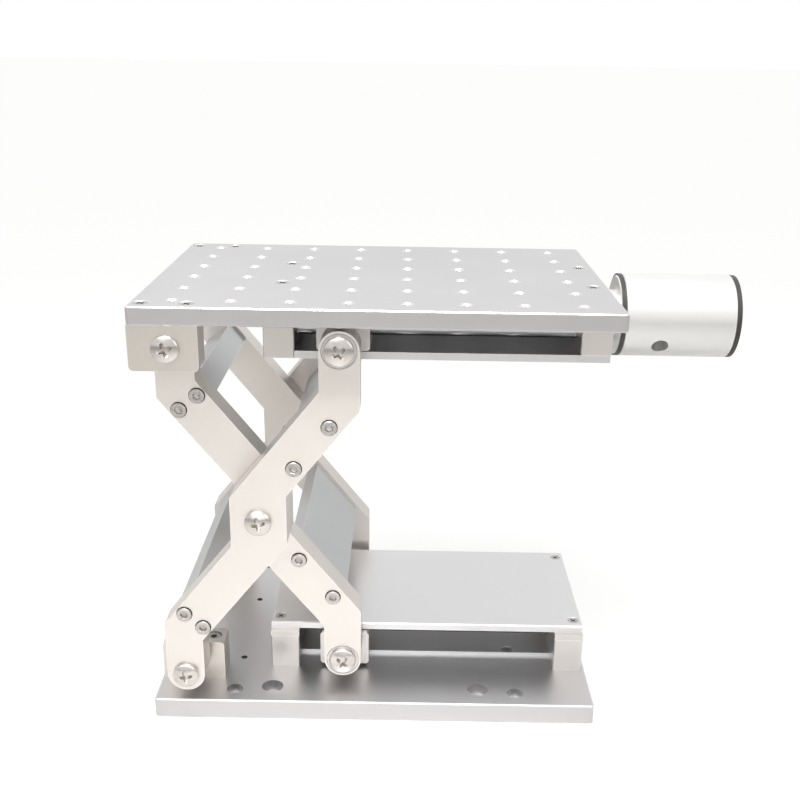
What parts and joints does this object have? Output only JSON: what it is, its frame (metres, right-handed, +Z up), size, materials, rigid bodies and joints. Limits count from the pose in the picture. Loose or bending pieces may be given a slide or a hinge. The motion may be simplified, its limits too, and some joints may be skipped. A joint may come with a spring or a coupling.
{
  "type": "manual scissor lift stage",
  "caption": "Low manual lift stage: a drilled table on crossed cranked arms over a base plate, raised by a hand knob on a horizontal lead screw.",
  "frame": {"origin": "middle of the base plate's underside", "axes": "+Z up out of the table's top, +X along the lead screw towards the knob, +Y across to the rear"},
  "size_m": [0.2752, 0.1562, 0.2028],
  "materials": {
    "plate_anodised": "bead-blasted clear anodised, satin",
    "bracket_anodised": "clear anodised, satin",
    "block_anodised": "clear anodised, satin",
    "cover_anodised": "clear anodised, semi-gloss",
    "arm_anodised": "clear anodised, satin",
    "knob_anodised": "turned and clear anodised",
    "knob_ring_dark": "dark moulded ring",
    "pivot_screw_nickel": "bright nickel plated",
    "socket_screw_steel": "zinc plated",
    "small_screw_steel": "zinc plated",
    "washer_steel": "turned steel",
    "ground_steel": "ground and polished",
    "bronze": "plain bearing bronze"
  },
  "bodies": {
    "base": {"base_plate": "plate_anodised", "base_ear_front": "bracket_anodised", "base_ear_rear": "bracket_anodised", "base_ear_screws": "socket_screw_steel", "guide_support_left": "block_anodised", "guide_support_right": "block_anodised", "cover_spacer_left": "block_anodised", "cover_spacer_right": "block_anodised", "guide_support_screws": "small_screw_steel", "guide_cover": "cover_anodised", "wear_plate": "cover_anodised", "guide_small_screws": "small_screw_steel", "lower_guide_rod_front": "ground_steel", "lower_guide_rod_rear": "ground_steel", "base_pivot_sleeves": "washer_steel", "base_pivot_screws": "pivot_screw_nickel"},
    "arms_a": {"arm_a_front": "arm_anodised", "arm_a_rear": "arm_anodised", "arm_a_tie_plate": "arm_anodised", "arm_a_tie_bar": "arm_anodised", "arm_a_tie_screws": "socket_screw_steel", "arm_a_bushes": "bronze"},
    "arms_b": {"arm_b_front": "arm_anodised", "arm_b_rear": "arm_anodised", "arm_b_tie_plate": "arm_anodised", "arm_b_tie_bar": "arm_anodised", "arm_b_tie_screws": "socket_screw_steel", "arm_b_bushes": "bronze", "hub_pivot_screws": "pivot_screw_nickel"},
    "lower_slider": {"lower_slider": "block_anodised", "lower_slider_bushes": "bronze", "lower_slider_sleeves": "washer_steel", "lower_pivot_washers": "washer_steel", "lower_pivot_screws": "pivot_screw_nickel"},
    "upper_slider": {"upper_slider": "block_anodised", "upper_slider_bushes": "bronze", "upper_slider_sleeves": "washer_steel", "upper_pivot_washers": "washer_steel", "upper_pivot_screws": "pivot_screw_nickel", "lead_nut": "bronze"},
    "table": {"table_plate": "plate_anodised", "table_bracket_front": "bracket_anodised", "table_bracket_rear": "bracket_anodised", "table_screws": "small_screw_steel", "end_block_left": "block_anodised", "end_block_right": "block_anodised", "upper_guide_rod_front": "ground_steel", "upper_guide_rod_rear": "ground_steel", "closing_plate": "cover_anodised", "end_block_small_screws": "small_screw_steel", "left_screw_bush": "bronze", "right_screw_bearing": "washer_steel", "bearing_cap": "cover_anodised", "table_pivot_screws": "pivot_screw_nickel"},
    "drive": {"lead_screw": "ground_steel", "screw_collar": "washer_steel", "knob": "knob_anodised", "knob_rings": "knob_ring_dark", "knob_set_screw": "small_screw_steel"}
  },
  "joints": [
    {"name": "lift_angle", "type": "hinge", "parent": "base", "child": "arms_a", "pos_m": [-0.089, 0, 0.024], "axis": [0, 1, 0], "range_deg": [-3.2, 44.5]},
    {"name": "arm_cross", "type": "hinge", "parent": "arms_a", "child": "arms_b", "pos_m": [-0.05245, 0, 0.1035], "axis": [0, 1, 0], "range_deg": [-89, 6.4]},
    {"name": "table_level", "type": "hinge", "parent": "arms_b", "child": "table", "pos_m": [-0.089, 0, 0.183], "axis": [0, 1, 0], "range_deg": [-3.2, 44.5]},
    {"name": "upper_slider_level", "type": "hinge", "parent": "arms_a", "child": "upper_slider", "pos_m": [-0.0159, 0, 0.183], "axis": [0, 1, 0], "range_deg": [-44.5, 3.2]},
    {"name": "lower_slider_level", "type": "hinge", "parent": "arms_b", "child": "lower_slider", "pos_m": [-0.0159, 0, 0.024], "axis": [0, 1, 0], "range_deg": [-3.2, 44.5]},
    {"name": "knob_turn", "type": "hinge", "parent": "table", "child": "drive", "pos_m": [0.104, 0, 0.183], "axis": [-1, 0, 0], "range_deg": [-801, 11136]}
  ],
  "couplings": [
    {"joint": "arm_cross", "follows": "lift_angle", "ratio": -2},
    {"joint": "table_level", "follows": "lift_angle", "ratio": 1},
    {"joint": "upper_slider_level", "follows": "lift_angle", "ratio": -1},
    {"joint": "lower_slider_level", "follows": "lift_angle", "ratio": 1},
    {"joint": "knob_turn", "follows": "lift_angle", "ratio": 250.24}
  ]
}
